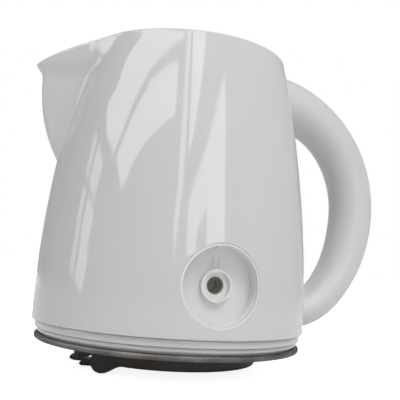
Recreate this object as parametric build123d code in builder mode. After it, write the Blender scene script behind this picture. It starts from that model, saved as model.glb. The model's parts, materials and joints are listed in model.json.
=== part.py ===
from build123d import *
import os
from math import cos, exp, radians, sin, tan

# Electric jug kettle, millimetres. Z is up and runs along the jug's axis. Z = 0 is the lower edge of
# the white outer wall. The handle points to +X, the spout to -X and the switch recess to -Y.

# ---- jug wall ---------------------------------------------------------------------------------
BASE_R = 76.0            # outer radius at the lower edge
RIM_R = 57.4             # outer radius at the rim
WALL_H = 152.5           # height of the rim above the lower edge
WALL_T = 2.6
SPIGOT_R = 74.2          # upper spigot step, which the base cover slides over
SPIGOT_H = 3.8
STEP_R = 72.8            # lower spigot step
STEP_LOW = -6.2
FLANGE_R = 71.4          # foot flange that presses on the seal
FLANGE_LOW = -8.0
BORE_R = 66.0            # inside of the foot flange

# ---- spout ------------------------------------------------------------------------------------
BEAK_HALF_ANGLE = 34.0   # between the spout's centre plane and each flank
BEAK_NOSE_R = 4.5
BEAK_BACK = -44.0
BEAK_LEVELS = (82, 88, 95, 104, 116, 128, 132, 135, 138, 142, 148, 156)
SHOULDER = (-47.0, WALL_H)
LIP_BEND = (-76.0, 146.2)
LIP_END = (-88.0, 136.3)

# ---- switch recess ----------------------------------------------------------------------------
RECESS_X = 1.9
RECESS_Z = 25.0
RECESS_R = 20.3
CUP_WALL = 1.0
CUP_FLOOR = -64.4        # y of the recess floor
CUP_BACK = -62.4
SKIRT_SEAT = -70.2       # y of the ledge that the knob's skirt stops at
LEDGE = 0.5
BOSS_R = 8.0
BOSS_H = 2.6
POCKET_R = 6.9
POCKET_FLAT = 6.1
POCKET_DEPTH = 2.2
SHAFT_R = 5.2            # switch spindle
SOCKET_R = 4.05
SOCKET_DEPTH = 5.0
SOCKET_END_R = 3.4
SOCKET_END_H = 2.4
SOCKET_FLAT = 2.4
SOCKET_HOLE_R = 4.4      # hole in the cup's floor in front of the socket
RUNNING = 0.08           # radial clearance of a running fit
CRANK = 6.0              # crank radius of the spindle
ROD_X = RECESS_X - CRANK
ROD_Y = -35.0
ROD_R = 2.0

# ---- lid --------------------------------------------------------------------------------------
LID_R = 54.0
LID_LOW = 146.0
LID_EDGE = 152.6
LID_TOP = 159.0
HINGE_X = 46.0
HINGE_Z = 155.2
PIN_R = 1.5
LID_REAR = 41.5
BUTTON_R = 11.0
BUTTON_TRAVEL = 2.0

# ---- underside --------------------------------------------------------------------------------
PLATE_R = 71.0
PLATE_T = 0.8
RING_R = 74.1
RING_TOP = -7.3
RING_LOW = -10.2
CONTROL_R = 50.0
CONTROL_LOW = -19.0
CONTROL_TOP = -10.8
CONTROL_WALL = 1.8
CONTROL_TURN = -17.5     # the control is fitted turned about the jug's axis
CONTROL_FLAT = -37.2     # flat side of the control, in its own frame
BIMETALS = [(26.0, 14.0), (27.0, -13.0)]
ELEMENT_R = 44.0
ELEMENT_TUBE = 2.5
ELEMENT_GAP = 43.0       # half of the open angle of the heating element
LEVER_PIVOT = (-40.5, -13.0)
LEVER_Y = (-31.0, -22.2)
ARM_Y = (-22.2, -19.8)
ARM_Z = (-13.8, -12.2)
LOBE_Y = (36.5, 43.5)
SOCKET_BORE_R = 14.0     # mouth of the socket for the power base's plug
SOCKET_MOUTH = -16.4     # height of the ledge at the end of the mouth
CONTACT_BORE_R = 13.2
STUD_CIRCLE = 30.0       # radius of the circle of studs and screws
STUD_ANGLES = (60, 180, 300)
STUD_R = 1.9
SCREW_R = 1.2
SCREW_SEAT = 1.8         # depth of a screw's seat above the control's underside
BOSS_TOP = 3.2

TURN = radians(CONTROL_TURN)
CONTROL = Plane(origin=(0, 0, 0), x_dir=(cos(TURN), sin(TURN), 0), z_dir=(0, 0, 1))
CONTROL_SIDE = Plane(origin=(0, 0, 0), x_dir=(cos(TURN), sin(TURN), 0), z_dir=(sin(TURN), -cos(TURN), 0))
SCREW_STATIONS = [(66.5, 139.0), (82.5, 9.5)]     # outer end of each handle screw's shank
pieces = {}


def wall_r(z, inset=0.0):
    """Radius of the outer wall at height z, a parabola, less an inset."""
    return BASE_R - (BASE_R - RIM_R) * (z / WALL_H) ** 2 - inset


def wall_curve(inset, low=0.0, high=WALL_H):
    """The wall's parabola between two heights as one exact Bezier."""
    slope = -2 * (BASE_R - RIM_R) * low / WALL_H ** 2
    start = (wall_r(low, inset), low)
    middle = (start[0] + slope * (high - low) / 2, (low + high) / 2)
    return Bezier(start, middle, (wall_r(high, inset), high))


def solid_of_wall(inset, low, high, mode):
    """Solid of revolution filled out to the wall's curve, less an inset."""
    with BuildSketch(Plane.XZ) as half:
        with BuildLine():
            curve = wall_curve(inset, low, high)
            Polyline(curve @ 1, (0, high), (0, low), curve @ 0)
        make_face()
    revolve(half.sketch, axis=Axis.Z, mode=mode)


def keel(z):
    """Distance of the spout's nose from the axis at height z: a rounded keel with a small flick."""
    below = max(0.0, 128.0 - z)
    above = max(0.0, z - 131.0)
    return 82.1 - 0.04 * (128.0 - z) - 11.0 * (below / 44.0) ** 2.4 + 4.6 * (1 - exp(-(above / 5.0) ** 2))


def beak(inset, mode):
    """Pouring spout: V sections with a rounded nose, lofted up the keel."""
    half = radians(BEAK_HALF_ANGLE)
    sections = []
    for height in BEAK_LEVELS:
        apex = -keel(height) - BEAK_NOSE_R * (1 / sin(half) - 1) + inset / sin(half)
        spread = (BEAK_BACK - apex) * tan(half)
        with BuildSketch(Plane.XY.offset(height)) as section:
            with BuildLine():
                Polyline((apex, 0), (BEAK_BACK, spread), (BEAK_BACK, -spread), (apex, 0))
            make_face()
            fillet(vertices().sort_by(Axis.X)[0], BEAK_NOSE_R - inset)
        sections.append(section.sketch)
    loft(sections, mode=mode)


def ring(r_in, r_out, low, high, mode=Mode.ADD):
    """Plain ring about the jug's axis."""
    with BuildSketch(Plane.XY.offset(low)) as flat:
        Circle(r_out)
        if r_in > 0:
            Circle(r_in, mode=Mode.SUBTRACT)
    extrude(flat.sketch, amount=high - low, mode=mode)


def bar(plane, x, y, low, high, mode=Mode.ADD):
    """Block on a plane between two x, two y and two heights."""
    with BuildSketch(plane.offset(low)) as flat:
        with Locations(((x[0] + x[1]) / 2, (y[0] + y[1]) / 2)):
            Rectangle(x[1] - x[0], y[1] - y[0])
    extrude(flat.sketch, amount=high - low, mode=mode)


def peg(plane, x, y, r, low, high, mode=Mode.ADD):
    """Round peg or hole on a plane between two heights."""
    with BuildSketch(plane.offset(low)) as flat:
        with Locations((x, y)):
            Circle(r)
    extrude(flat.sketch, amount=high - low, mode=mode)


def keep(piece, name):
    piece.part.label = name
    pieces[name] = piece.part


# ==== jug ======================================================================================
with BuildPart() as jug_shell:
    solid_of_wall(0, 0, WALL_H, Mode.ADD)
    ring(0, SPIGOT_R, -SPIGOT_H, 0)
    ring(0, STEP_R, STEP_LOW, -SPIGOT_H)
    ring(0, FLANGE_R, FLANGE_LOW, STEP_LOW)
    beak(0, Mode.ADD)
    solid_of_wall(WALL_T, 2.0, WALL_H + 8, Mode.SUBTRACT)
    ring(0, BORE_R + 4, STEP_LOW, 2.0, Mode.SUBTRACT)
    ring(0, BORE_R, FLANGE_LOW, STEP_LOW, Mode.SUBTRACT)
    beak(WALL_T - 0.2, Mode.SUBTRACT)
    # the lip falls away from the rim to the nose
    with BuildSketch(Plane.XZ):
        with BuildLine():
            Bezier(SHOULDER, LIP_BEND, LIP_END)
            Polyline(LIP_END, (-100, 126), (-100, 170), (-40, 170), (-40, WALL_H), SHOULDER)
        make_face()
    extrude(amount=60, both=True, mode=Mode.SUBTRACT)
    # seat of the switch cup
    peg(Plane.XZ, RECESS_X, RECESS_Z, RECESS_R, 60, 80, Mode.SUBTRACT)
    # blind pilot holes for the handle screws
    for x, z in SCREW_STATIONS:
        peg(Plane.YZ, 0, z, 1.5, wall_r(z) - 1.5, 90, Mode.SUBTRACT)
keep(jug_shell, "jug_shell")

SPINDLE_FRONT = -CUP_FLOOR + BOSS_H - POCKET_DEPTH - 1.0
with BuildPart() as switch_cup:
    peg(Plane.XZ, RECESS_X, RECESS_Z, RECESS_R - 0.05, -CUP_BACK, 80)
    solid_of_wall(0.35, 0, 60, Mode.INTERSECT)
    peg(Plane.XZ, RECESS_X, RECESS_Z, RECESS_R - CUP_WALL, -SKIRT_SEAT, 80, Mode.SUBTRACT)
    peg(Plane.XZ, RECESS_X, RECESS_Z, RECESS_R - CUP_WALL - LEDGE, -CUP_FLOOR, -SKIRT_SEAT, Mode.SUBTRACT)
    peg(Plane.XZ, RECESS_X, RECESS_Z, BOSS_R, -CUP_FLOOR, -CUP_FLOOR + BOSS_H)
    # pocket with a flat at its top, which stops the knob's collar from turning
    with BuildSketch(Plane.XZ.offset(-CUP_FLOOR + BOSS_H)):
        with Locations((RECESS_X, RECESS_Z)):
            Circle(POCKET_R)
        with Locations((RECESS_X, RECESS_Z + POCKET_FLAT + 5)):
            Rectangle(30, 10, mode=Mode.SUBTRACT)
    extrude(amount=-POCKET_DEPTH, mode=Mode.SUBTRACT)
    peg(Plane.XZ, RECESS_X, RECESS_Z, SHAFT_R + RUNNING, 60, SPINDLE_FRONT + 0.1, Mode.SUBTRACT)
    peg(Plane.XZ, RECESS_X, RECESS_Z, SOCKET_HOLE_R, 60, 80, Mode.SUBTRACT)
    # position ticks above the boss
    for side in (RECESS_X - 1.5, RECESS_X + 1.5):
        bar(Plane.XZ, (side - 0.35, side + 0.35), (RECESS_Z + 8.6, RECESS_Z + 13.4),
            -CUP_FLOOR - 0.2, -CUP_FLOOR + 0.5)
    # two pips at the lower edge of the floor
    for side in (RECESS_X - 4.2, RECESS_X - 1.6):
        peg(Plane.XZ, side, RECESS_Z - 17.9, 0.5, -CUP_FLOOR - 0.2, -CUP_FLOOR + 0.35)
    # snap lug of the knob, at the top of the wall
    bar(Plane.XZ, (RECESS_X - 3.0, RECESS_X + 1.5), (RECESS_Z + 17.95, RECESS_Z + 19.4), -SKIRT_SEAT, 71.6)
keep(switch_cup, "switch_cup")

DUCT_FRONT = -CUP_BACK
DUCT = {"x": (-12.0, 13.0), "z": (9.6, 37.6), "y": (30.5, DUCT_FRONT)}
with BuildPart() as linkage_duct:
    bar(Plane.XZ, DUCT["x"], DUCT["z"], *DUCT["y"])
    peg(Plane.XY, ROD_X, ROD_Y, 4.6, -7.4, 12)
    bar(Plane.XZ, (DUCT["x"][0] + 1.5, DUCT["x"][1] - 1.5), (DUCT["z"][0] + 1.5, DUCT["z"][1] - 1.5),
        DUCT["y"][0] + 1.5, DUCT["y"][1] - 3.0, Mode.SUBTRACT)
    peg(Plane.XY, ROD_X, ROD_Y, ROD_R + 0.5, -10, 20, Mode.SUBTRACT)
    peg(Plane.XZ, RECESS_X, RECESS_Z, SHAFT_R + RUNNING, 50, 70, Mode.SUBTRACT)
    # groove of the spindle seal
    peg(Plane.XZ, RECESS_X, RECESS_Z, SHAFT_R + 1.6, DUCT_FRONT - 1.8, DUCT_FRONT, Mode.SUBTRACT)
keep(linkage_duct, "linkage_duct")

with BuildPart() as spindle_seal:
    peg(Plane.XZ, RECESS_X, RECESS_Z, SHAFT_R + 1.55, DUCT_FRONT - 1.7, DUCT_FRONT)
    peg(Plane.XZ, RECESS_X, RECESS_Z, SHAFT_R + 0.05, 50, 70, Mode.SUBTRACT)
keep(spindle_seal, "spindle_seal")

SPINDLE_BACK = 42.0
CRANK_T = 4.0
with BuildPart() as switch_spindle:
    peg(Plane.XZ, RECESS_X, RECESS_Z, SHAFT_R, SPINDLE_BACK, SPINDLE_FRONT)
    peg(Plane.XZ, RECESS_X, RECESS_Z, SOCKET_R, SPINDLE_FRONT - SOCKET_DEPTH, SPINDLE_FRONT, Mode.SUBTRACT)
    # narrower end of the socket, with a driving flat
    with BuildSketch(Plane.XZ.offset(SPINDLE_FRONT - SOCKET_DEPTH)):
        with Locations((RECESS_X, RECESS_Z)):
            Circle(SOCKET_END_R)
        with Locations((RECESS_X, RECESS_Z + SOCKET_FLAT + 2)):
            Rectangle(8, 4, mode=Mode.SUBTRACT)
    extrude(amount=-SOCKET_END_H, mode=Mode.SUBTRACT)
    with BuildSketch(Plane.XZ.offset(SPINDLE_BACK)):
        with Locations((RECESS_X - CRANK / 2, RECESS_Z)):
            SlotOverall(CRANK + 6.0, 6.0)
    extrude(amount=CRANK_T)
    peg(Plane.XZ, ROD_X, RECESS_Z, 1.4, 36.6, SPINDLE_BACK)
keep(switch_spindle, "switch_spindle")

CLIP_Y = DUCT_FRONT - 4.3
with BuildPart() as spindle_clip:
    peg(Plane.XZ, RECESS_X, RECESS_Z, SHAFT_R + 2.0, CLIP_Y, CLIP_Y + 1.0)
    peg(Plane.XZ, RECESS_X, RECESS_Z, SHAFT_R + 0.1, CLIP_Y, CLIP_Y + 1.0, Mode.SUBTRACT)
    bar(Plane.XZ, (RECESS_X - 1.6, RECESS_X + 1.6), (RECESS_Z - 12, RECESS_Z - 3), CLIP_Y, CLIP_Y + 1.0,
        Mode.SUBTRACT)
keep(spindle_clip, "spindle_clip")

ROD_LOW = -12.0
with BuildPart() as push_rod:
    peg(Plane.XY, ROD_X, ROD_Y, ROD_R, ROD_LOW, RECESS_Z - 3.0)
    # eye that the crank pin slides in
    bar(Plane.XZ, (ROD_X - 3.6, ROD_X + 3.6), (RECESS_Z - 3.2, RECESS_Z + 3.2), 33.4, 39.6)
    with BuildSketch(Plane.XZ.offset(30)):
        with Locations((ROD_X, RECESS_Z)):
            SlotOverall(4.2, 2.94)
    extrude(amount=12, mode=Mode.SUBTRACT)
keep(push_rod, "push_rod")

with BuildPart() as rod_grommet:
    peg(Plane.XY, ROD_X, ROD_Y, 4.65, -10.4, -7.5)
    peg(Plane.XY, ROD_X, ROD_Y, ROD_R + 0.35, -12, -7, Mode.SUBTRACT)
keep(rod_grommet, "rod_grommet")

STEAM_X = (41.0, 50.0)
with BuildPart() as steam_tube:
    with BuildLine() as steam_path:
        FilletPolyline((STEAM_X[1], 0, 147.0), (STEAM_X[1], 0, 122.0), (STEAM_X[0], 0, 92.0),
                       (STEAM_X[0], 0, -10.0), radius=30)
    with BuildSketch(Plane(origin=(STEAM_X[1], 0, 147.0), z_dir=(0, 0, -1))):
        Circle(4.5)
        Circle(3.3, mode=Mode.SUBTRACT)
    sweep()
keep(steam_tube, "steam_tube")

# ==== filter at the spout ======================================================================
FILTER_X = -52.4
with BuildPart() as filter_frame:
    with BuildSketch(Plane.YZ.offset(FILTER_X)):
        with Locations((0, 117)):
            RectangleRounded(22, 50, 4)
            RectangleRounded(17, 45, 2.5, mode=Mode.SUBTRACT)
            Rectangle(1.6, 46)
        with GridLocations(0, 15, 1, 2):
            with Locations((0, 117)):
                Rectangle(18, 1.6)
    extrude(amount=2.4)
keep(filter_frame, "filter_frame")

with BuildPart() as filter_mesh:
    with BuildSketch(Plane.YZ.offset(FILTER_X - 0.7)):
        with Locations((0, 117)):
            Rectangle(19, 47)
    extrude(amount=0.6)
keep(filter_mesh, "filter_mesh")

# ==== handle ===================================================================================
# centre x, centre z, direction of the outward normal, thickness along it, width across
HANDLE = [(52.0, 137.5, 88.0, 33.0, 31.0), (67.0, 136.6, 76.0, 31.5, 30.0), (84.0, 130.6, 60.0, 28.8, 29.0),
          (104.8, 112.5, 35.0, 27.4, 27.5), (116.4, 85.1, 10.0, 26.9, 27.0), (115.5, 55.5, -15.0, 26.1, 27.0),
          (105.2, 29.7, -39.0, 23.4, 26.5), (88.8, 13.2, -66.0, 21.4, 26.0), (78.0, 9.9, -87.0, 21.2, 26.0),
          (66.0, 9.7, -90.0, 21.4, 26.0)]
HANDLE_WALL = 2.4
SEAM = 0.77              # place of the seam, as a share of half the thickness


def station_plane(x, z, normal):
    """Section plane of the handle, its local x pointing away from the jug."""
    angle = radians(normal)
    return Plane(origin=(x, 0, z), x_dir=(cos(angle), 0, sin(angle)), z_dir=(-sin(angle), 0, cos(angle)))


def handle_loft(inset, mode=Mode.ADD):
    sections = []
    for x, z, normal, thick, width in HANDLE:
        with BuildSketch(station_plane(x, z, normal)) as section:
            Ellipse(thick / 2 - inset, width / 2 - inset)
        sections.append(section.sketch)
    loft(sections, mode=mode)


def handle_outer_zone(clearance, mode):
    """The space outside the seam, which the cover fills."""
    sections = []
    for x, z, normal, thick, width in HANDLE:
        with BuildSketch(station_plane(x, z, normal)) as section:
            with Locations((SEAM * thick / 2 + clearance + 15, 0)):
                Rectangle(30, 44)
        sections.append(section.sketch)
    loft(sections, mode=mode)


with BuildPart() as handle_grip:
    handle_loft(0)
    handle_loft(HANDLE_WALL, Mode.SUBTRACT)
    handle_outer_zone(0, Mode.SUBTRACT)
    solid_of_wall(0, -20, 200, Mode.SUBTRACT)
keep(handle_grip, "handle_grip")

with BuildPart() as handle_cover:
    handle_loft(0)
    handle_loft(HANDLE_WALL, Mode.SUBTRACT)
    handle_outer_zone(0.25, Mode.INTERSECT)
    solid_of_wall(0, -20, 200, Mode.SUBTRACT)
keep(handle_cover, "handle_cover")

with BuildPart() as handle_screws:
    for x, z in SCREW_STATIONS:
        low_x = wall_r(z) - 1.5
        with BuildSketch(Plane.YZ.offset(low_x)) as shank:
            with Locations((0, z)):
                Circle(1.5)
        extrude(shank.sketch, amount=x + 3 - low_x)
        with BuildSketch(Plane.YZ.offset(x + 3)) as head:
            with Locations((0, z)):
                Circle(3.2)
        extrude(head.sketch, amount=2.4)
keep(handle_screws, "handle_screws")

# ==== rear deck and lid ========================================================================
DECK_X = 50.2
with BuildPart() as rear_deck:
    ring(0, 60, 146.5, 151.5)
    solid_of_wall(WALL_T + 0.1, 100, WALL_H, Mode.INTERSECT)
    bar(Plane.XY, (-70, LID_REAR + 0.7), (-70, 70), 140, 160, Mode.SUBTRACT)
    # clearance for the lid's knuckle
    bar(Plane.XY, (30, DECK_X), (-11, 11), 140, 160, Mode.SUBTRACT)
    for side in (-1, 1):
        low, high = sorted((side * 11.2, side * 15.2))
        with BuildSketch(Plane.XZ.offset(-high)) as ear:
            with Locations((HINGE_X, HINGE_Z)):
                Circle(3.0)
            with Locations((HINGE_X + 1.0, (HINGE_Z + 146.5) / 2)):
                Rectangle(4.0, HINGE_Z - 146.5)
        extrude(ear.sketch, amount=high - low)
    peg(Plane.XZ, HINGE_X, HINGE_Z, PIN_R + 0.02, -20, 20, Mode.SUBTRACT)
    # seat of the steam tube
    peg(Plane.XY, STEAM_X[1], 0, 4.6, 140, 147.2, Mode.SUBTRACT)
    peg(Plane.XY, STEAM_X[1] + 2.3, 0, 1.8, 140, 160, Mode.SUBTRACT)
keep(rear_deck, "rear_deck")

with BuildPart() as hinge_pin:
    peg(Plane.XZ, HINGE_X, HINGE_Z, PIN_R, -15.0, 15.0)
keep(hinge_pin, "hinge_pin")


def dome_z(r):
    """Underside height of the lid's crown at radius r, before the 2 mm skin."""
    return LID_TOP - (LID_TOP - LID_EDGE) * (r / LID_R) ** 2


def lid_solid(r, low, drop):
    """Filled lid form of radius r from height low up to the crown less a drop."""
    with BuildSketch(Plane.XZ) as half:
        with BuildLine():
            Bezier((0, LID_TOP - drop), (r / 2, LID_TOP - drop), (r, dome_z(r) - drop))
            Polyline((r, dome_z(r) - drop), (r, low), (0, low), (0, LID_TOP - drop))
        make_face()
    return half.sketch


LATCH_Z = (148.2, 150.8)
LATCH_IN = 7.0
with BuildPart() as lid_shell:
    revolve(lid_solid(LID_R, LID_LOW, 0), axis=Axis.Z)
    bar(Plane.XY, (LID_REAR, 80), (-70, 70), 130, 170, Mode.SUBTRACT)
    with BuildPart(mode=Mode.PRIVATE) as lid_hollow:
        revolve(lid_solid(LID_R - 2.0, LID_LOW - 1, 2.0), axis=Axis.Z)
        bar(Plane.XY, (LID_REAR - 2.0, 80), (-70, 70), 130, 170, Mode.SUBTRACT)
    add(lid_hollow.part, mode=Mode.SUBTRACT)
    peg(Plane.XY, 0, 0, BUTTON_R + 0.3, 150, 165, Mode.SUBTRACT)
    # windows for the two latch noses
    bar(Plane.XY, (-6.3, 6.3), (-60, 60), LATCH_Z[0] - 0.3, LATCH_Z[1] + 0.3, Mode.SUBTRACT)
    # knuckle
    peg(Plane.XZ, HINGE_X, HINGE_Z, 2.9, -10.8, 10.8)
    bar(Plane.XY, (LID_REAR - 1.0, HINGE_X), (-10.8, 10.8), HINGE_Z - 2.9, HINGE_Z - 0.1)
    peg(Plane.XZ, HINGE_X, HINGE_Z, PIN_R + RUNNING, -20, 20, Mode.SUBTRACT)
keep(lid_shell, "lid_shell")

with BuildPart() as lid_inner:
    ring(0, LID_R - 2.1, LID_LOW, LID_LOW + 1.4)
    ring(0, 6.0, LID_LOW, LID_LOW + 2.0)
    ring(0, 4.6, LID_LOW + 1.2, LID_LOW + 6.0, Mode.SUBTRACT)
    bar(Plane.XY, (LID_REAR - 2.1, 80), (-70, 70), 130, 170, Mode.SUBTRACT)
keep(lid_inner, "lid_inner")

with BuildPart() as lid_seal:
    ring(48.5, LID_R - 0.2, LID_LOW - 2.4, LID_LOW)
    bar(Plane.XY, (LID_REAR - 2.2, 80), (-70, 70), 130, 170, Mode.SUBTRACT)
keep(lid_seal, "lid_seal")

BUTTON_LOW = 156.2
FLANGE_UNDER = BUTTON_LOW - 1.2
with BuildPart() as lid_button:
    ring(0, BUTTON_R, BUTTON_LOW, LID_TOP + 0.6)
    fillet(faces().sort_by(Axis.Z)[-1].edges(), 1.2)
    ring(0, BUTTON_R + 1.2, FLANGE_UNDER, BUTTON_LOW)
    # wedge legs that draw the latches inwards
    for side in (-1, 1):
        with BuildSketch(Plane.YZ.offset(-3)) as leg:
            with BuildLine():
                Polyline((side * 10.6, FLANGE_UNDER), (side * 12.0, FLANGE_UNDER), (side * 15.0, 152.4),
                         (side * 15.0, 149.7), (side * 12.8, 149.7), (side * 10.6, 151.9),
                         (side * 10.6, FLANGE_UNDER))
            make_face()
        extrude(leg.sketch, amount=6)
keep(lid_button, "lid_button")

with BuildPart() as button_spring:
    with BuildLine() as coil_path:
        Helix(pitch=1.75, height=7.0, radius=3.1, center=(0, 0, 147.6))
    with BuildSketch(Plane(origin=coil_path.line @ 0, z_dir=coil_path.line % 0)):
        Circle(0.3)
    sweep()
keep(button_spring, "button_spring")


def latch(side):
    """Latch bolt with a window that the button's wedge leg drops into."""
    reach = LID_R - 0.2
    with BuildSketch(Plane.XY.offset(LATCH_Z[0])) as outline:
        with Locations((0, side * (reach + LATCH_IN) / 2)):
            Rectangle(12, reach - LATCH_IN)
        with Locations((0, side * 13.4)):
            Rectangle(7, 8.0, mode=Mode.SUBTRACT)
    extrude(outline.sketch, amount=LATCH_Z[1] - LATCH_Z[0])


with BuildPart() as latch_front:
    latch(-1)
keep(latch_front, "latch_front")

with BuildPart() as latch_back:
    latch(1)
keep(latch_back, "latch_back")

# ==== heater and clamp =========================================================================
with BuildPart() as plate_seal:
    ring(63.5, FLANGE_R, FLANGE_LOW - 0.8, FLANGE_LOW)
    ring(63.5, BORE_R - 0.1, FLANGE_LOW - 0.8, FLANGE_LOW + 2.6)
keep(plate_seal, "plate_seal")

PLATE_TOP = FLANGE_LOW - 0.8
with BuildPart() as heater_plate:
    ring(0, PLATE_R, PLATE_TOP - PLATE_T, PLATE_TOP)
    ring(0, 60.0, PLATE_TOP, PLATE_TOP + 0.8)
    ring(0, 59.2, PLATE_TOP - PLATE_T, PLATE_TOP, Mode.SUBTRACT)
    peg(Plane.XY, ROD_X, ROD_Y, 4.7, -12, 0, Mode.SUBTRACT)
    peg(Plane.XY, STEAM_X[0], 0, 4.6, -12, 0, Mode.SUBTRACT)
keep(heater_plate, "heater_plate")

with BuildPart() as clamp_ring:
    with BuildSketch(Plane.XZ) as section:
        with BuildLine():
            Polyline((71.9, RING_TOP), (73.0, RING_TOP))
            ThreePointArc((73.0, RING_TOP), (RING_R, (RING_TOP + RING_LOW) / 2), (73.0, RING_LOW))
            Polyline((73.0, RING_LOW), (67.5, RING_LOW), (67.5, RING_LOW + 0.55), (71.9, RING_LOW + 0.55),
                     (71.9, RING_TOP))
        make_face()
    revolve(axis=Axis.Z)
keep(clamp_ring, "clamp_ring")

DIFFUSER_TOP = PLATE_TOP
DIFFUSER_T = 1.8
with BuildPart() as heat_diffuser:
    ring(0, 58.0, DIFFUSER_TOP - DIFFUSER_T, DIFFUSER_TOP)
    peg(Plane.XY, ROD_X, ROD_Y, 6.0, -12, 0, Mode.SUBTRACT)
    peg(Plane.XY, STEAM_X[0], 0, 5.0, -12, 0, Mode.SUBTRACT)
keep(heat_diffuser, "heat_diffuser")

ELEMENT_Z = DIFFUSER_TOP - DIFFUSER_T - ELEMENT_TUBE
ELEMENT_START = TURN + radians(180 + ELEMENT_GAP)
with BuildPart() as heating_element:
    with BuildSketch(Plane(origin=(0, 0, 0), x_dir=(cos(ELEMENT_START), sin(ELEMENT_START), 0),
                           z_dir=(sin(ELEMENT_START), -cos(ELEMENT_START), 0))):
        with Locations((ELEMENT_R, ELEMENT_Z)):
            Circle(ELEMENT_TUBE)
    revolve(axis=Axis.Z, revolution_arc=360 - 2 * ELEMENT_GAP)
keep(heating_element, "heating_element")

# ==== control ==================================================================================
SOCKET_END = CONTROL_TOP - 2.0
STUDS = [(STUD_CIRCLE * cos(radians(a)), STUD_CIRCLE * sin(radians(a))) for a in STUD_ANGLES]


def control_outline(inset):
    """Round control with one flat side."""
    with BuildSketch(CONTROL) as outline:
        Circle(CONTROL_R - inset)
        with Locations((CONTROL_FLAT + inset - 30, 0)):
            Rectangle(60, 120, mode=Mode.SUBTRACT)
    return outline.sketch


with BuildPart() as control_housing:
    extrude(control_outline(0).moved(Location((0, 0, CONTROL_LOW))), amount=CONTROL_TOP - CONTROL_LOW)
    fillet(edges().filter_by(GeomType.CIRCLE).group_by(Axis.Z)[0], 1.2)
    # rounded lobe beside the flat
    with BuildSketch(CONTROL_SIDE.offset(LOBE_Y[0])) as lobe:
        with BuildLine():
            Polyline((-22.0, CONTROL_LOW), (-22.0, -12.5), (-37.0, -12.5), (-37.0, CONTROL_LOW))
            Spline((-37.0, CONTROL_LOW), (-35.4, -21.6), (-32.4, -22.8), (-28.0, -21.8), (-24.6, -19.9),
                   (-22.0, CONTROL_LOW))
        make_face()
    extrude(lobe.sketch, amount=LOBE_Y[1] - LOBE_Y[0])
    extrude(control_outline(CONTROL_WALL).moved(Location((0, 0, CONTROL_LOW + 1.6))), amount=12,
            mode=Mode.SUBTRACT)
    ring(0, SOCKET_BORE_R + 2.0, CONTROL_LOW + 1.0, CONTROL_TOP - 0.4)
    ring(0, SOCKET_BORE_R, CONTROL_LOW - 1, SOCKET_MOUTH, Mode.SUBTRACT)
    ring(0, CONTACT_BORE_R, SOCKET_MOUTH, SOCKET_END, Mode.SUBTRACT)
    # annular tongues between the contacts
    ring(8.6, 10.0, SOCKET_MOUTH, SOCKET_END + 0.5)
    ring(3.6, 4.8, SOCKET_MOUTH, SOCKET_END + 0.5)
    # counterbored bosses for the screws
    for x, y in STUDS:
        peg(CONTROL, x, y, 4.5, CONTROL_LOW + 1.0, CONTROL_LOW + BOSS_TOP)
        peg(CONTROL, x, y, 3.4, CONTROL_LOW - 1, CONTROL_LOW + SCREW_SEAT, Mode.SUBTRACT)
        peg(CONTROL, x, y, SCREW_R + 0.2, CONTROL_LOW, CONTROL_LOW + BOSS_TOP, Mode.SUBTRACT)
    # way out for the trip lever
    bar(CONTROL, (-45, -34), (LEVER_Y[0] - 0.6, ARM_Y[1] + 0.6), CONTROL_LOW - 1, CONTROL_TOP + 1,
        Mode.SUBTRACT)
keep(control_housing, "control_housing")

with BuildPart() as contact_pin:
    peg(Plane.XY, 0, 0, 2.0, SOCKET_MOUTH + 0.2, SOCKET_END)
keep(contact_pin, "contact_pin")

with BuildPart() as contact_rings:
    ring(6.0, 7.4, SOCKET_MOUTH + 0.2, SOCKET_END)
    ring(11.2, 12.4, SOCKET_MOUTH + 0.2, SOCKET_END)
keep(contact_rings, "contact_rings")

with BuildPart() as bimetal_discs:
    for x, y in BIMETALS:
        with BuildSketch(CONTROL.offset(-12.9)) as disc:
            with Locations((x, y)):
                Circle(9.0)
                Circle(1.2, mode=Mode.SUBTRACT)
        extrude(disc.sketch, amount=0.4)
keep(bimetal_discs, "bimetal_discs")

with BuildPart() as bimetal_pins:
    for x, y in BIMETALS:
        peg(CONTROL, x, y, 1.0, CONTROL_LOW + 1.6, -11.0)
keep(bimetal_pins, "bimetal_pins")

with BuildPart() as terminal_blades:
    for y in (20, 26):
        bar(CONTROL, (-31, -20), (y - 0.4, y + 0.4), CONTROL_LOW + 1.6, CONTROL_TOP - 0.6)
keep(terminal_blades, "terminal_blades")

with BuildPart() as plate_studs:
    for x, y in STUDS:
        peg(CONTROL, x, y, STUD_R, CONTROL_LOW + BOSS_TOP, DIFFUSER_TOP - DIFFUSER_T)
        peg(CONTROL, x, y, SCREW_R, CONTROL_LOW, CONTROL_LOW + BOSS_TOP + 2.4, Mode.SUBTRACT)
keep(plate_studs, "plate_studs")

with BuildPart() as control_screws:
    for x, y in STUDS:
        peg(CONTROL, x, y, 3.0, CONTROL_LOW + 0.6, CONTROL_LOW + SCREW_SEAT)
        peg(CONTROL, x, y, SCREW_R, CONTROL_LOW + SCREW_SEAT, CONTROL_LOW + BOSS_TOP + 2.0)
        # cross recess
        bar(CONTROL, (x - 2.1, x + 2.1), (y - 0.4, y + 0.4), CONTROL_LOW, CONTROL_LOW + 1.2, Mode.SUBTRACT)
        bar(CONTROL, (x - 0.4, x + 0.4), (y - 2.1, y + 2.1), CONTROL_LOW, CONTROL_LOW + 1.2, Mode.SUBTRACT)
keep(control_screws, "control_screws")

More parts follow.
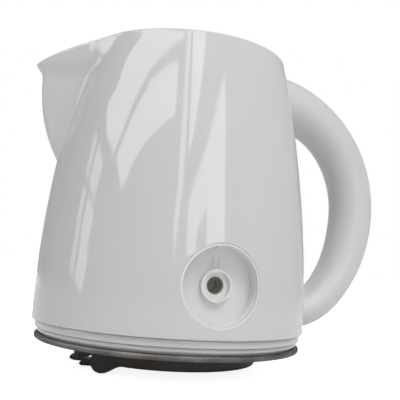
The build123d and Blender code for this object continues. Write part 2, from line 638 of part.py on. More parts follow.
# ==== trip lever ===============================================================================
ROD_IN_CONTROL = (ROD_X * cos(TURN) + ROD_Y * sin(TURN), -ROD_X * sin(TURN) + ROD_Y * cos(TURN))
with BuildPart() as trip_lever:
    # foot bracket, its outline drawn from the side of the recess
    with BuildSketch(CONTROL_SIDE.offset(-LEVER_Y[1])) as foot:
        with BuildLine():
            Polyline((-47.6, ARM_Z[1]), (-44.9, ARM_Z[1]), (-44.9, -17.2))
            Spline((-44.9, -17.2), (-41.6, -18.4), (-37.6, -17.0))
            Polyline((-37.6, -17.0), (-36.4, -17.6), (-36.4, -21.6), (-43.6, -21.6), (-44.8, -20.6),
                     (-43.6, -19.3), (-47.6, -19.1), (-49.8, -18.2), (-49.6, -17.0), (-47.6, -16.8),
                     (-47.6, ARM_Z[1]))
        make_face()
    extrude(foot.sketch, amount=LEVER_Y[1] - LEVER_Y[0])
    # arm that runs inside the control to the push rod
    bar(CONTROL, (-47.6, ROD_IN_CONTROL[0] + 2.6), ARM_Y, *ARM_Z)
    bar(CONTROL, (ROD_IN_CONTROL[0] - 2.6, ROD_IN_CONTROL[0] + 2.6), (ROD_IN_CONTROL[1] - 2.6, ARM_Y[1]),
        *ARM_Z)
    peg(CONTROL_SIDE, *LEVER_PIVOT, 2.4, -ARM_Y[1], -ARM_Y[0])
    peg(CONTROL_SIDE, *LEVER_PIVOT, 1.2 + RUNNING, 0, 60, Mode.SUBTRACT)
keep(trip_lever, "trip_lever")

with BuildPart() as lever_bearing:
    with BuildSketch(CONTROL_SIDE.offset(-LEVER_Y[1] + 0.6)) as cheek:
        with BuildLine():
            Polyline((-37.9, -15.4), (-37.9, CONTROL_TOP), (-44.4, CONTROL_TOP), (-44.4, -15.9))
            Spline((-44.4, -15.9), (-41.6, -17.2), (-37.9, -15.4))
        make_face()
    extrude(cheek.sketch, amount=LEVER_Y[1] - LEVER_Y[0] - 1.2)
    peg(CONTROL_SIDE, *LEVER_PIVOT, 1.2, 0, 60, Mode.SUBTRACT)
keep(lever_bearing, "lever_bearing")

with BuildPart() as lever_pin:
    peg(CONTROL_SIDE, *LEVER_PIVOT, 1.2, -ARM_Y[1] - 0.6, -LEVER_Y[0] - 0.6)
keep(lever_pin, "lever_pin")

os.makedirs("parts", exist_ok=True)
for name, piece in pieces.items():
    export_step(piece, f"parts/{name}.step")
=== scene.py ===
"""Looks of the electric jug kettle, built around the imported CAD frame. Lengths in metres."""

import json
import math

import bpy
import numpy as np
from mathutils import Matrix, Vector
from mathutils.geometry import tessellate_polygon


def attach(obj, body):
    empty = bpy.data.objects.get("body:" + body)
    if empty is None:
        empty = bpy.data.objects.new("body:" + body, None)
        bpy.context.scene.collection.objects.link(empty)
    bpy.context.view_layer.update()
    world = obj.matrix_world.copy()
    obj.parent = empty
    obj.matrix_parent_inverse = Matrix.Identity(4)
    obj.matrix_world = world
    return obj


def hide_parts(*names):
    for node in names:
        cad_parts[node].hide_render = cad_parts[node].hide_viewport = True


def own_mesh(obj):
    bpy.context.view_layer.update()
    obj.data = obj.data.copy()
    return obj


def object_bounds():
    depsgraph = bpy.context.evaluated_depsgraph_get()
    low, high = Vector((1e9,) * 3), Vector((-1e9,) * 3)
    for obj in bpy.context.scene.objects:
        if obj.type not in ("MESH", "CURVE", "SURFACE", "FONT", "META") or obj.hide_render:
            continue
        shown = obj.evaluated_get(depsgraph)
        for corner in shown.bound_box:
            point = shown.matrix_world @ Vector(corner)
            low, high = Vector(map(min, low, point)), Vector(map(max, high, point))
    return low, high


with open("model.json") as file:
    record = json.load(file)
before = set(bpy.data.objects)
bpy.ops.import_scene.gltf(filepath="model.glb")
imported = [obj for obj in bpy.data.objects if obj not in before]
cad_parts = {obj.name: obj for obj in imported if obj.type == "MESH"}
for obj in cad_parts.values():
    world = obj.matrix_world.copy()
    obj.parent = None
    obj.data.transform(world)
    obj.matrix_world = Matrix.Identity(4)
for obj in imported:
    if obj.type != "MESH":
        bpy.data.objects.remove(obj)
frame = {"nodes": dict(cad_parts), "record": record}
cad_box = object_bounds()
MM = 0.001

# ---- driving sizes of the jug, the same as the CAD's, in millimetres --------------------------
BASE_R = 76.0
RIM_R = 57.4
WALL_H = 152.5
WALL_T = 2.6
RECESS_X = 1.9
RECESS_Z = 25.0
RECESS_R = 20.3
RECESS_EDGE = 0.22          # radius of the softened edge round the recess
BEAK_HALF = math.radians(34.0)
BEAK_NOSE_R = 4.5
SHOULDER_X = 47.0
SPOUT_DIRECTION = math.pi
BEAK_LOW = 70.0             # height below which there is no spout
BEAK_SPAN = math.radians(75)
KEEL_REACH = 82.1           # the nose's distance from the axis at KEEL_Z
KEEL_Z = 128.0
KEEL_LEAN = 0.04
KEEL_TUCK = 11.0            # how far the nose draws in over KEEL_TUCK_H below KEEL_Z
KEEL_TUCK_H = 44.0
KEEL_FLICK = 4.6            # the outward turn at the lip
KEEL_FLICK_Z = 131.0
KEEL_FLICK_H = 5.0
LIP_RUN = 58.0              # the lip's curve beyond SHOULDER_X: x = RUN t - BEND t^2,
LIP_BEND = 17.0             # falling by FALL t + HOOK t^2
LIP_FALL = 12.6
LIP_HOOK = 3.6
FLANK_DROP = 45.0           # fall of the flank inside the wall, per radian squared
FILLET_LOW = 84.0           # height where the fillet between spout and wall begins
FILLET_RISE = 62.0
FILLET_MIN = 0.4
FILLET_GROWTH = 6.0
RIM_EDGE = 0.9              # radius of the rim's two rounded edges

# ---- mesh of the jug: the window is the patch of columns and rows round the recess ------------
SPOUT_HALF = math.radians(36)
SPOUT_COLUMNS = 97
LEFT_COLUMNS = 40
RIGHT_COLUMNS = 130
WINDOW_X = 31.0
WINDOW_LOW = 1.2
WINDOW_HIGH = 54.0
WINDOW_LOW_INSIDE = 3.2
WINDOW_COLUMNS = 32
WINDOW_ROWS = 26
LEVELS_ABOVE = 90
INNER_LEVELS = 30
EDGE_STEPS = 6              # rows in a quarter round
WINDOW_RINGS = 12
WINDOW_CROWDING = 1.4       # above 1, the window's rings crowd towards the opening


# ---- materials --------------------------------------------------------------------------------
def new_material(name, colour, roughness, metallic=0.0, ior=1.49):
    """A Principled material and its handles; colour, roughness and bump nodes are added to it."""
    mat = bpy.data.materials.new(name)
    mat.use_nodes = True
    tree = mat.node_tree
    shader = tree.nodes["Principled BSDF"]
    shader.inputs["Base Color"].default_value = (*colour, 1.0)
    shader.inputs["Roughness"].default_value = roughness
    shader.inputs["Metallic"].default_value = metallic
    shader.inputs["IOR"].default_value = ior
    return mat, tree, shader


def noise(tree, scale, detail=3.0, rough=0.55, stretch=(1, 1, 1)):
    """Noise in the object's own coordinates, in metres."""
    coords = tree.nodes.new("ShaderNodeTexCoord")
    mapping = tree.nodes.new("ShaderNodeMapping")
    mapping.inputs["Scale"].default_value = stretch
    tex = tree.nodes.new("ShaderNodeTexNoise")
    tex.inputs["Scale"].default_value = scale
    tex.inputs["Detail"].default_value = detail
    tex.inputs["Roughness"].default_value = rough
    tree.links.new(coords.outputs["Object"], mapping.inputs["Vector"])
    tree.links.new(mapping.outputs["Vector"], tex.inputs["Vector"])
    return tex.outputs["Fac"]


def ramp(tree, value, low, high, start=0.35, end=0.65):
    """Maps a value onto two numbers or two colours."""
    node = tree.nodes.new("ShaderNodeValToRGB")
    stops = node.color_ramp.elements
    stops[0].position = start
    stops[1].position = end
    for stop, tone in zip(stops, (low, high)):
        stop.color = (*tone, 1.0) if isinstance(tone, tuple) else (tone, tone, tone, 1.0)
    tree.links.new(value, node.inputs["Fac"])
    return node.outputs["Color"]


def bump(tree, shader, height, strength, distance):
    """Puts a height texture on a shader's normal; the distance is in metres."""
    node = tree.nodes.new("ShaderNodeBump")
    node.inputs["Strength"].default_value = strength
    node.inputs["Distance"].default_value = distance
    tree.links.new(height, node.inputs["Height"])
    tree.links.new(node.outputs["Normal"], shader.inputs["Normal"])


def plastic(name, colour, shade, roughness, grain, grain_height, wear=0.04):
    """Moulded plastic: faint tone drift, roughness drift and a fine surface grain."""
    mat, tree, shader = new_material(name, colour, roughness)
    tone = ramp(tree, noise(tree, 14.0), shade, colour, 0.3, 0.7)
    tree.links.new(tone, shader.inputs["Base Color"])
    drift = ramp(tree, noise(tree, 60.0, 5.0), roughness, roughness + wear, 0.35, 0.75)
    tree.links.new(drift, shader.inputs["Roughness"])
    bump(tree, shader, noise(tree, grain, 2.0), 1.0, grain_height)
    return mat


def metal(name, colour, shade, roughness, grain, stretch=(1, 1, 1), grain_height=0.00002):
    """Bare metal with a drawn or turned grain and dull patches."""
    mat, tree, shader = new_material(name, colour, roughness, metallic=1.0)
    tone = ramp(tree, noise(tree, 90.0, 4.0), shade, colour)
    tree.links.new(tone, shader.inputs["Base Color"])
    drift = ramp(tree, noise(tree, 180.0, 4.0), roughness, roughness + 0.15)
    tree.links.new(drift, shader.inputs["Roughness"])
    bump(tree, shader, noise(tree, grain, 3.0, 0.6, stretch), 0.6, grain_height)
    return mat


MATERIALS = {
    "shell_white": plastic("gloss_white", (0.60, 0.60, 0.605), (0.585, 0.587, 0.593),
                           0.05, 120.0, 0.000004, 0.03),
    "cup_white": plastic("matt_white", (0.705, 0.705, 0.70), (0.685, 0.685, 0.68),
                         0.42, 2600.0, 0.000012),
    "handle_satin": plastic("satin_white", (0.60, 0.60, 0.605), (0.58, 0.58, 0.585),
                            0.36, 2200.0, 0.000010),
    "spindle_plastic": plastic("grey_acetal", (0.34, 0.36, 0.30), (0.27, 0.29, 0.24),
                               0.4, 1800.0, 0.00001),
    "seal_black": plastic("black_silicone", (0.022, 0.021, 0.02), (0.03, 0.029, 0.028),
                          0.55, 900.0, 0.00002),
    "seal_clear": plastic("clear_silicone", (0.68, 0.68, 0.66), (0.62, 0.62, 0.6),
                          0.4, 900.0, 0.00001),
    "mesh_grey": metal("woven_steel", (0.6, 0.6, 0.6), (0.45, 0.45, 0.45), 0.35, 3000.0),
    "steel": metal("turned_steel", (0.6, 0.6, 0.61), (0.48, 0.48, 0.49), 0.28, 900.0, (1, 1, 30)),
    "plate_steel": metal("satin_steel", (0.58, 0.57, 0.55), (0.5, 0.49, 0.47),
                         0.3, 600.0, (30, 1, 1)),
    # Rolled steel, its colour set far darker than bare steel as painted shade: it stands in for the
    # shade under the foot and for the dim surroundings that the ring reflects there.
    "ring_steel": metal("rolled_ring", (0.19, 0.18, 0.17), (0.12, 0.112, 0.105),
                        0.36, 1200.0, (1, 1, 8)),
    "diffuser_aluminium": metal("rolled_aluminium", (0.66, 0.66, 0.67), (0.55, 0.55, 0.56),
                                0.42, 700.0, (20, 1, 1)),
    "element_sheath": metal("element_sheath", (0.35, 0.35, 0.35), (0.22, 0.21, 0.2), 0.5, 1500.0),
    "control_black": plastic("black_thermoset", (0.026, 0.022, 0.020), (0.036, 0.031, 0.028),
                             0.5, 1400.0, 0.00002, 0.15),
    "lever_black": plastic("black_acetal", (0.006, 0.006, 0.006), (0.010, 0.010, 0.010),
                           0.28, 1200.0, 0.00001, 0.1),
    "contact_brass": metal("contact_brass", (0.72, 0.56, 0.28), (0.55, 0.4, 0.2), 0.25, 900.0),
    "bimetal": metal("bimetal", (0.55, 0.46, 0.36), (0.45, 0.38, 0.3), 0.3, 900.0),
}


def dress_cad():
    """Gives every CAD node the material of its slot in the record."""
    slots = {part["node"]: part["material_slot"] for part in frame["record"]["subparts"]}
    for name, node in frame["nodes"].items():
        mat = MATERIALS[slots[name]]
        if not node.material_slots:
            node.data.materials.append(mat)
        for entry in node.material_slots:
            entry.material = mat


# ---- mesh helpers -----------------------------------------------------------------------------
def make_piece(name, verts_mm, faces, body, slot, replaces):
    """A smooth-shaded mesh, given in millimetres, that rides on a body and stands in for CAD nodes."""
    mesh = bpy.data.meshes.new(name)
    mesh.from_pydata([tuple(float(c) * MM for c in v) for v in verts_mm], [], faces)
    mesh.update()
    mesh.validate()
    mesh.polygons.foreach_set("use_smooth", [True] * len(mesh.polygons))
    obj = bpy.data.objects.new(name, mesh)
    bpy.context.collection.objects.link(obj)
    obj.data.materials.append(MATERIALS[slot])
    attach(obj, body)
    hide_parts(*replaces)


# ---- the jug's surface ------------------------------------------------------------------------
def wall_r(z, inset):
    """Radius of the plain wall, a parabola in height."""
    return BASE_R - (BASE_R - RIM_R) * (z / WALL_H) ** 2 - inset


def keel(z):
    """Distance of the spout's nose from the axis at height z."""
    below = max(0.0, KEEL_Z - z)
    tuck = (below / KEEL_TUCK_H) ** 2.4
    flick = 1.0 - math.exp(-(max(0.0, z - KEEL_FLICK_Z) / KEEL_FLICK_H) ** 2)
    return KEEL_REACH - KEEL_LEAN * (KEEL_Z - z) - KEEL_TUCK * tuck + KEEL_FLICK * flick


def beak_r(angle, z, inset):
    """Radius of the spout's V at an angle from its centre plane, or 0 where there is none."""
    if z < BEAK_LOW or angle > BEAK_SPAN:
        return 0.0
    nose = BEAK_NOSE_R - inset
    apex = keel(z) + BEAK_NOSE_R * (1 / math.sin(BEAK_HALF) - 1) - inset / math.sin(BEAK_HALF)
    centre = apex - nose / math.sin(BEAK_HALF)
    tangent = math.atan2(nose * math.cos(BEAK_HALF), centre + nose * math.sin(BEAK_HALF))
    if angle < tangent:
        return centre * math.cos(angle) + math.sqrt(nose ** 2 - (centre * math.sin(angle)) ** 2)
    # inside the wall the flank drops away faster, so that the fillet stays local
    flank = apex * math.sin(BEAK_HALF)
    crossing = math.pi / 2 - BEAK_HALF - math.acos(min(1.0, flank / wall_r(z, inset)))
    return flank / math.sin(angle + BEAK_HALF) - FLANK_DROP * max(0.0, angle - crossing) ** 2


def blend_width(z):
    """Width of the fillet between spout and wall: sharp at the notch, wide towards the rim."""
    t = min(1.0, max(0.0, (z - FILLET_LOW) / FILLET_RISE))
    return FILLET_MIN + FILLET_GROWTH * t ** 1.4


def surface_r(theta, z, inset):
    """Radius of the jug's surface in direction theta at height z."""
    angle = abs((theta - SPOUT_DIRECTION + math.pi) % (2 * math.pi) - math.pi)
    a = wall_r(z, inset)
    b = beak_r(angle, z, inset)
    width = blend_width(z)
    h = max(width - abs(a - b), 0.0) / width
    return max(a, b) + h * h * width / 4


def lip_z(x):
    """Height of the rim at a distance x from the axis towards the spout."""
    if x <= SHOULDER_X:
        return WALL_H
    root = math.sqrt(LIP_RUN ** 2 - 4 * LIP_BEND * (x - SHOULDER_X))
    t = (LIP_RUN - root) / (2 * LIP_BEND)
    return WALL_H - LIP_FALL * t - LIP_HOOK * t * t


def rim_z(theta):
    """Height of the rim in a direction, found by halving towards the lip's curve."""
    z = WALL_H
    for _ in range(12):
        reach = -math.cos(theta) * surface_r(theta, z, 0.0)
        z = 0.5 * z + 0.5 * lip_z(reach)
    return z


def columns():
    """Column angles, closer together round the spout and in the recess window."""
    spout = SPOUT_HALF
    window = math.asin(WINDOW_X / BASE_R)
    start = 1.5 * math.pi - window
    end = 1.5 * math.pi + window
    fine = list(np.linspace(math.pi - spout, math.pi + spout, SPOUT_COLUMNS))
    left = list(np.linspace(math.pi + spout, start, LEFT_COLUMNS))[1:]
    middle = list(np.linspace(start, end, WINDOW_COLUMNS + 1))[1:]
    right = list(np.linspace(end, 3 * math.pi - spout, RIGHT_COLUMNS))[1:-1]
    return fine + left + middle + right


def jug_shell():
    """The jug as one closed skin: outside, foot steps, inside and rim, with the recess's opening."""
    thetas = columns()
    n = len(thetas)
    first = SPOUT_COLUMNS + LEFT_COLUMNS - 2     # column at the window's left edge
    verts = []
    faces = []
    index = {}

    def point(theta, z, inset):
        r = surface_r(theta, z, inset)
        return (r * math.cos(theta), r * math.sin(theta), z)

    def row(key, make):
        index[key] = list(range(len(verts), len(verts) + n))
        verts.extend(make(t) for t in thetas)

    def stitch(a, b, skip=(0, 0)):
        for i in range(n):
            if skip[0] <= i < skip[1]:
                continue
            j = (i + 1) % n
            faces.append((index[a][i], index[a][j], index[b][j], index[b][i]))

    order = []
    # outside, window rows then rows up to the rim
    for k in range(WINDOW_ROWS + 1):
        z = WINDOW_LOW + (WINDOW_HIGH - WINDOW_LOW) * k / WINDOW_ROWS
        row(("out", k), lambda t, z=z: point(t, z, 0.0))
        order.append(("out", k))
    edge = RIM_EDGE
    tops = {t: rim_z(t) - edge for t in thetas}
    for k in range(1, LEVELS_ABOVE + 1):
        share = k / LEVELS_ABOVE
        row(("up", k), lambda t, s=share: point(t, WINDOW_HIGH + (tops[t] - WINDOW_HIGH) * s, 0.0))
        order.append(("up", k))
    # rounded rim
    for k in range(1, EDGE_STEPS + 1):
        a = math.radians(90 * k / EDGE_STEPS)
        row(("rim", k), lambda t, a=a: rim_point(t, tops[t], edge - edge * math.cos(a), math.sin(a)))
        order.append(("rim", k))
    for k in range(0, EDGE_STEPS):
        a = math.radians(90 - 90 * (k + 1) / EDGE_STEPS)
        row(("rim_in", k),
            lambda t, a=a: rim_point(t, tops[t], WALL_T - edge + edge * math.cos(a), math.sin(a)))
        order.append(("rim_in", k))
    # inside, down to the recess window and through its rows to the floor
    for k in range(1, INNER_LEVELS + 1):
        share = 1 - k / INNER_LEVELS
        row(("in", k), lambda t, s=share: point(t, WINDOW_HIGH + (tops[t] - WINDOW_HIGH) * s, WALL_T))
        order.append(("in", k))
    for k in range(1, WINDOW_ROWS + 1):
        z = WINDOW_HIGH + (WINDOW_LOW_INSIDE - WINDOW_HIGH) * k / WINDOW_ROWS
        row(("inside", k), lambda t, z=z: point(t, z, WALL_T))
        order.append(("inside", k))
    index[("inside", 0)] = index[("in", INNER_LEVELS)]
    # foot: round steps drawn as a list of radius and height
    for k, (r, z) in enumerate(foot_profile()):
        row(("foot", k), lambda t, r=r, z=z: (r * math.cos(t), r * math.sin(t), z))
        order.append(("foot", k))
    last = WINDOW_COLUMNS
    for a, b in zip(order, order[1:] + order[:1]):
        in_window = b[0] == "inside" or (a[0] == "out" and b[0] == "out")
        stitch(a, b, (first, first + last) if in_window else (0, 0))
    outer = window_ring(verts, faces, index, "out", first)
    inner = window_ring(verts, faces, index, "inside", first)
    count = len(outer)
    for i in range(count):
        j = (i + 1) % count
        faces.append((outer[i], outer[j], inner[j], inner[i]))
    make_piece("jug_wall", verts, faces, "jug", "shell_white", ["jug_shell"])


def rim_point(theta, top, inset, rise):
    """Point of the rounded rim: an inset from the outer surface and a share of the edge's radius up."""
    z = top + RIM_EDGE * rise
    r = surface_r(theta, top, inset)
    return (r * math.cos(theta), r * math.sin(theta), z)


def arc_points(cx, cz, r, start, end, count):
    """Points of an arc in the profile plane, angles in degrees."""
    return [(cx + r * math.cos(math.radians(a)), cz + r * math.sin(math.radians(a)))
            for a in np.linspace(start, end, count)]


def foot_profile():
    """Profile from the inside floor out under the foot and up over the two spigot steps."""
    points = [(70.0, 1.2), (70.0, -2.0), (70.0, -5.8), (69.6, -6.2), (66.2, -6.2), (66.0, -6.4)]
    points += [(66.0, -7.8), (66.2, -8.0), (71.2, -8.0), (71.4, -7.8)]
    points += [(71.4, -6.5), (71.5, -6.3), (71.7, -6.2)]
    points += arc_points(72.4, -5.8, 0.4, -90, 0, 4)
    points += [(72.8, -5.0), (72.8, -4.5), (72.5, -4.3)]
    points += [(72.0, -4.2), (72.0, -3.9), (72.6, -3.8), (73.4, -3.8)]
    points += arc_points(73.9, -3.5, 0.35, -80, 0, 4)
    points += [(74.25, -2.0), (74.25, -0.8), (74.1, -0.5)]
    points += [(73.3, -0.4), (73.3, -0.1), (74.2, 0.0), (75.0, 0.0)]
    points += arc_points(75.5, 0.5, 0.5, -80, 0, 5)
    return points


def window_ring(verts, faces, index, side, first):
    """Fills a side's recess window with rings of faces that end in the round, softened opening."""
    last = first + WINDOW_COLUMNS
    low, high = (0, WINDOW_ROWS) if side == "out" else (WINDOW_ROWS, 0)
    step = 1 if side == "out" else -1
    boundary = [index[(side, low)][i] for i in range(first, last)]
    boundary += [index[(side, k)][last] for k in range(low, high, step)]
    boundary += [index[(side, high)][i] for i in range(last, first, -1)]
    boundary += [index[(side, k)][first] for k in range(high, low, -step)]
    inset = 0.0 if side == "out" else WALL_T
    edge = RECESS_EDGE if side == "out" else 0.0
    starts = [(verts[v][0], verts[v][2]) for v in boundary]
    angles = [math.atan2(z - RECESS_Z, x - RECESS_X) for x, z in starts]
    rings = [boundary]
    for k in range(1, WINDOW_RINGS + 1):
        share = 1 - (1 - k / WINDOW_RINGS) ** WINDOW_CROWDING
        ids = []
        for (x, z), a in zip(starts, angles):
            px = x + (RECESS_X + (RECESS_R + edge) * math.cos(a) - x) * share
            pz = z + (RECESS_Z + (RECESS_R + edge) * math.sin(a) - z) * share
            ids.append(len(verts))
            verts.append((px, -math.sqrt(wall_r(pz, inset) ** 2 - px ** 2), pz))
        rings.append(ids)
    if side == "out":
        for k in range(1, EDGE_STEPS + 1):
            b = math.radians(90 * k / EDGE_STEPS)
            radius = RECESS_R + edge * (1 - math.sin(b))
            rings.append(opening_ring(verts, angles, radius, edge * (1 - math.cos(b))))
    count = len(boundary)
    for a, b in zip(rings, rings[1:]):
        for i in range(count):
            j = (i + 1) % count
            faces.append((a[i], a[j], b[j], b[i]))
    return rings[-1]


def opening_ring(verts, angles, radius, sink):
    """Ring of points round the recess at a radius, sunk below the wall's surface."""
    ids = []
    for a in angles:
        x = RECESS_X + radius * math.cos(a)
        z = RECESS_Z + radius * math.sin(a)
        ids.append(len(verts))
        verts.append((x, -math.sqrt(wall_r(z, 0.0) ** 2 - x ** 2) + sink, z))
    return ids


# ---- clamp ring -------------------------------------------------------------------------------
RING_R = 74.1
RING_TOP = -7.3
RING_LOW = -10.2
RING_T = 0.55
RING_BULGE = 1.1
RIBS = 390
RIB_DEPTH = 0.5
RIB_COLUMNS = 6             # mesh columns in each rib


def clamp_ring():
    """Rolled steel ring whose bulged band carries fine upright ribs."""
    middle = (RING_TOP + RING_LOW) / 2
    half = (RING_TOP - RING_LOW) / 2
    # radius, height and share of the rib's depth
    profile = [(71.9, RING_TOP, 0.0), (72.6, RING_TOP, 0.0)]
    for a in np.linspace(80, -80, 11):
        c = math.cos(math.radians(a))
        z = middle + half * math.sin(math.radians(a))
        profile.append((RING_R - RING_BULGE + RING_BULGE * c, z, c ** 0.5))
    profile += [(72.6, RING_LOW, 0.0), (70.0, RING_LOW, 0.0), (67.5, RING_LOW, 0.0)]
    profile += [(67.5, RING_LOW + RING_T, 0.0), (71.9, RING_LOW + RING_T, 0.0)]
    n = RIBS * RIB_COLUMNS
    verts = []
    for i in range(n):
        t = 2 * math.pi * i / n
        wave = math.sqrt(0.5 + 0.5 * math.cos(RIBS * t))
        # the ribs are deeper and shallower by turns round the ring
        uneven = 0.6 + 0.4 * math.sin(7 * t) * math.sin(3.1 + 13 * t)
        for r, z, rib in profile:
            radius = r - RIB_DEPTH * rib * uneven * (1 - wave)
            verts.append((radius * math.cos(t), radius * math.sin(t), z))
    m = len(profile)
    faces = []
    for i in range(n):
        j = (i + 1) % n
        for k in range(m):
            up = (k + 1) % m
            faces.append((i * m + k, i * m + up, j * m + up, j * m + k))
    make_piece("rolled_ring", verts, faces, "jug", "ring_steel", ["clamp_ring"])


# ---- stage: floor, backdrop, light and camera -------------------------------------------------
# The camera, relative to the jug's axis at the foot of the wall: metres and radians, and the lens
# and sensor in millimetres.
CAMERA_DIRECTION = math.radians(-107.5)
CAMERA_DISTANCE = 0.36475
CAMERA_HEIGHT = 0.03574
CAMERA_YAW = -0.0368
CAMERA_PITCH = 0.0983
CAMERA_ROLL = 0.0683
CAMERA_LENS = 56.41
SENSOR = 36.0


def add_camera():
    """Level camera, then turned by its yaw, pitch and roll."""
    towards = Vector((math.cos(CAMERA_DIRECTION), math.sin(CAMERA_DIRECTION), 0))
    across = Vector((-math.sin(CAMERA_DIRECTION), math.cos(CAMERA_DIRECTION), 0))
    up = Vector((0, 0, 1))
    forward = (-towards * math.cos(CAMERA_YAW) * math.cos(CAMERA_PITCH)
               - across * math.sin(CAMERA_YAW) * math.cos(CAMERA_PITCH)
               + up * math.sin(CAMERA_PITCH))
    right = forward.cross(up).normalized()
    upright = right.cross(forward)
    rolled_right = right * math.cos(CAMERA_ROLL) + upright * math.sin(CAMERA_ROLL)
    rolled_up = upright * math.cos(CAMERA_ROLL) - right * math.sin(CAMERA_ROLL)
    matrix = Matrix((rolled_right, rolled_up, -forward)).transposed().to_4x4()
    matrix.translation = towards * CAMERA_DISTANCE + up * CAMERA_HEIGHT
    data = bpy.data.cameras.new("camera")
    data.lens = CAMERA_LENS
    data.sensor_width = SENSOR
    data.clip_start = 0.01
    data.clip_end = 50.0
    camera = bpy.data.objects.new("camera", data)
    camera.matrix_world = matrix
    bpy.context.collection.objects.link(camera)
    bpy.context.scene.camera = camera


FLOOR_Z = cad_box[0][2] - 0.0002
FLOOR_HALF = 6.0
FLOOR_LIFT = 0.88


def add_floor():
    """Pale floor under the control, lifted to white for camera rays."""
    mesh = bpy.data.meshes.new("floor")
    corners = [(x * FLOOR_HALF, y * FLOOR_HALF, FLOOR_Z)
               for x, y in ((-1, -1), (1, -1), (1, 1), (-1, 1))]
    mesh.from_pydata(corners, [], [(0, 1, 2, 3)])
    floor = bpy.data.objects.new("floor", mesh)
    bpy.context.collection.objects.link(floor)
    mat, tree, shader = new_material("pale_floor", (0.9, 0.9, 0.9), 0.8)
    shader.inputs["Emission Color"].default_value = (1.0, 1.0, 1.0, 1.0)
    path = tree.nodes.new("ShaderNodeLightPath")
    lift = tree.nodes.new("ShaderNodeMath")
    lift.operation = "MULTIPLY"
    lift.inputs[1].default_value = FLOOR_LIFT
    tree.links.new(path.outputs["Is Camera Ray"], lift.inputs[0])
    tree.links.new(lift.outputs["Value"], shader.inputs["Emission Strength"])
    mesh.materials.append(mat)


BRIGHT_SIDE = (0.75, -0.50, 0.43)       # direction in which the world is brightest
WORLD_DIM = 0.40
WORLD_BRIGHT = 0.52


def add_world():
    """Even studio light, a little dimmer from the left rear, behind a white background."""
    world = bpy.data.worlds.new("studio")
    bpy.context.scene.world = world
    world.use_nodes = True
    tree = world.node_tree
    back = tree.nodes["Background"]
    back.inputs["Color"].default_value = (1.0, 1.0, 1.0, 1.0)
    coords = tree.nodes.new("ShaderNodeTexCoord")
    facing = tree.nodes.new("ShaderNodeVectorMath")
    facing.operation = "DOT_PRODUCT"
    facing.inputs[1].default_value = BRIGHT_SIDE
    tree.links.new(coords.outputs["Generated"], facing.inputs[0])
    level = tree.nodes.new("ShaderNodeMapRange")
    level.inputs["From Min"].default_value = -1.0
    level.inputs["To Min"].default_value = WORLD_DIM
    level.inputs["To Max"].default_value = WORLD_BRIGHT
    tree.links.new(facing.outputs["Value"], level.inputs["Value"])
    path = tree.nodes.new("ShaderNodeLightPath")
    choose = tree.nodes.new("ShaderNodeMix")
    choose.inputs["B"].default_value = 1.0
    tree.links.new(path.outputs["Is Camera Ray"], choose.inputs["Factor"])
    tree.links.new(level.outputs["Result"], choose.inputs["A"])
    tree.links.new(choose.outputs["Result"], back.inputs["Strength"])


WINDOW_DISTANCE = 4.0

# Studio windows: outline corners as azimuth and elevation in degrees, seen from the jug, and
# their brightness.
WINDOWS = {
    "upper_left": (4.2, [(-170, 22.5), (-160, 32.5), (-148, 39.5), (-134, 43.5), (-118, 46.5),
                         (-112, 47.5), (-112, 62), (-128, 62), (-155, 55), (-170, 43), (-181, 38),
                         (-183, 33), (-190, 29), (-183, 25)]),
    "upper_middle": (4.2, [(-167, 22.5), (-156.5, 17.5), (-149, 23), (-139, 27.5), (-128, 30.5),
                           (-115, 33), (-116.5, 43), (-130, 41.5), (-145, 38), (-157, 31)]),
    "slit": (3.6, [(-111, 62), (-106, 62), (-103, 20), (-107, 7), (-109, 13), (-107.5, 20)]),
    "upper_right": (4.4, [(-104, 62), (-78, 62), (-85, 47), (-90, 39), (-96, 30), (-100, 26)]),
    "tall_right": (3.8, [(-63, 40), (-71, 36), (-80, 30), (-90, 23.5), (-98, 17.5), (-97, 8),
                         (-90, 8), (-89, 13), (-82, 16), (-81, 8), (-66, 8), (-66, 22), (-64, 32)]),
}
# A far window with two columns of small panes: the elevation of each row, then the corners of a
# left and a right pane as azimuth and rise above that elevation.
PANE_ROWS = (20.5, 12.2, 5.5)
PANE_LEFT = (2.4, [(-198, -3.4), (-193, -4.2), (-192, 2.6), (-197, 3.4)])
PANE_RIGHT = (3.2, [(-191, -4.4), (-182, -6.4), (-179, -0.2), (-189, 2.4)])


def sky_point(azimuth, elevation):
    """Point in metres on the windows' sphere."""
    a = math.radians(azimuth)
    e = math.radians(elevation)
    unit = Vector((math.cos(e) * math.cos(a), math.cos(e) * math.sin(a), math.sin(e)))
    return unit * WINDOW_DISTANCE


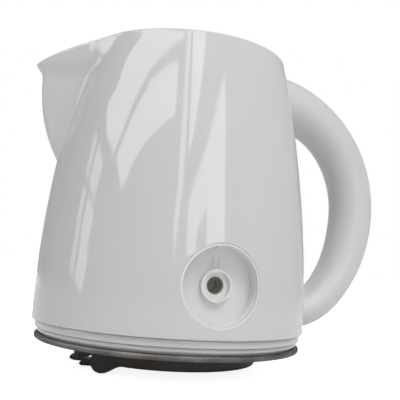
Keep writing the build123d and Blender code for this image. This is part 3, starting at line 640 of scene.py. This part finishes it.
def add_window(name, corners, brightness):
    """A flat-toned glowing pane far from the jug, not seen by the camera itself."""
    flat = [Vector((a, e, 0)) for a, e in corners]
    faces = tessellate_polygon([flat])
    mesh = bpy.data.meshes.new(name)
    mesh.from_pydata([sky_point(a, e) for a, e in corners], [], faces)
    mat = bpy.data.materials.new(name)
    mat.use_nodes = True
    tree = mat.node_tree
    tree.nodes.remove(tree.nodes["Principled BSDF"])
    glow = tree.nodes.new("ShaderNodeEmission")
    glow.inputs["Strength"].default_value = brightness
    glow.inputs["Color"].default_value = (1.0, 1.0, 1.0, 1.0)
    tree.links.new(glow.outputs["Emission"], tree.nodes["Material Output"].inputs["Surface"])
    mesh.materials.append(mat)
    pane = bpy.data.objects.new(name, mesh)
    pane.visible_camera = False
    pane.visible_diffuse = False
    bpy.context.collection.objects.link(pane)


def add_windows():
    """The studio windows that the gloss wall reflects."""
    for name, (brightness, corners) in WINDOWS.items():
        add_window(name, corners, brightness)
    for row, elevation in enumerate(PANE_ROWS):
        for side, (brightness, corners) in (("left", PANE_LEFT), ("right", PANE_RIGHT)):
            add_window(f"pane_{side}_{row}", [(a, elevation + e) for a, e in corners], brightness)


LAMP_DISTANCE = 2.0
LAMP_SIZE = 1.2
# Azimuth and elevation in degrees, and power in watts, of each lamp.
LAMPS = {
    "key": (-82.0, 56.0, 21.0),
    "rear_fill": (95.0, 30.0, 11.0),
}


def add_lamps():
    """Soft round lamps, kept out of the reflections."""
    for name, (azimuth, elevation, power) in LAMPS.items():
        data = bpy.data.lights.new(name, "AREA")
        data.shape = "DISK"
        data.size = LAMP_SIZE
        data.energy = power
        lamp = bpy.data.objects.new(name, data)
        place = sky_point(azimuth, elevation) * (LAMP_DISTANCE / WINDOW_DISTANCE)
        lamp.location = place
        lamp.rotation_euler = place.to_track_quat("Z", "Y").to_euler()
        lamp.visible_glossy = False
        bpy.context.collection.objects.link(lamp)


dress_cad()
jug_shell()
clamp_ring()
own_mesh(frame["nodes"]["button_spring"])
add_camera()
add_floor()
add_world()
add_windows()
add_lamps()
bpy.context.scene.view_settings.view_transform = "Standard"
